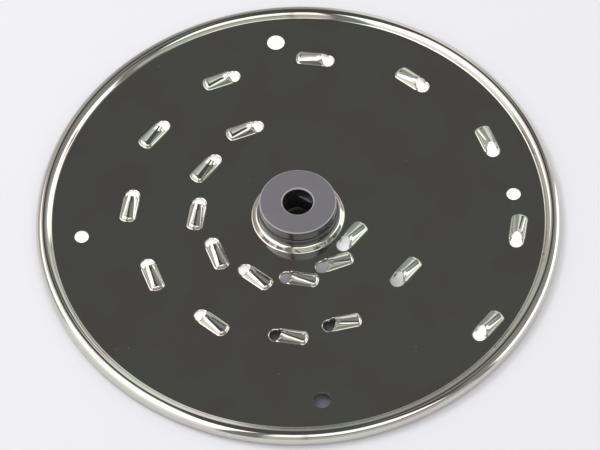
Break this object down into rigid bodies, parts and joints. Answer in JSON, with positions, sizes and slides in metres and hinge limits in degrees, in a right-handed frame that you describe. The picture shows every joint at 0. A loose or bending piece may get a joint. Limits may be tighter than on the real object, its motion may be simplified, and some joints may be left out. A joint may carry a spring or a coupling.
{
  "type": "shredding disc",
  "caption": "Round shredding disc of a vegetable cutter: polished sheet steel with a rolled rim and pressed hooded teeth, on a grey plastic hub with a D bore.",
  "frame": {"origin": "middle of the circle on which the rolled rim stands, on the disc's axis", "axes": "+Z along the axis towards the hub; +X through one of the two smaller locating holes, +Y through one of the two larger ones"},
  "size_m": [0.2051, 0.2052, 0.0134],
  "materials": {
    "polished_steel": "mirror-polished stainless steel sheet",
    "hub_plastic": "grey moulded plastic, fine matt grain on top, smoother sides"
  },
  "bodies": {
    "root": {"plate": "polished_steel", "hub": "hub_plastic"}
  },
  "joints": []
}
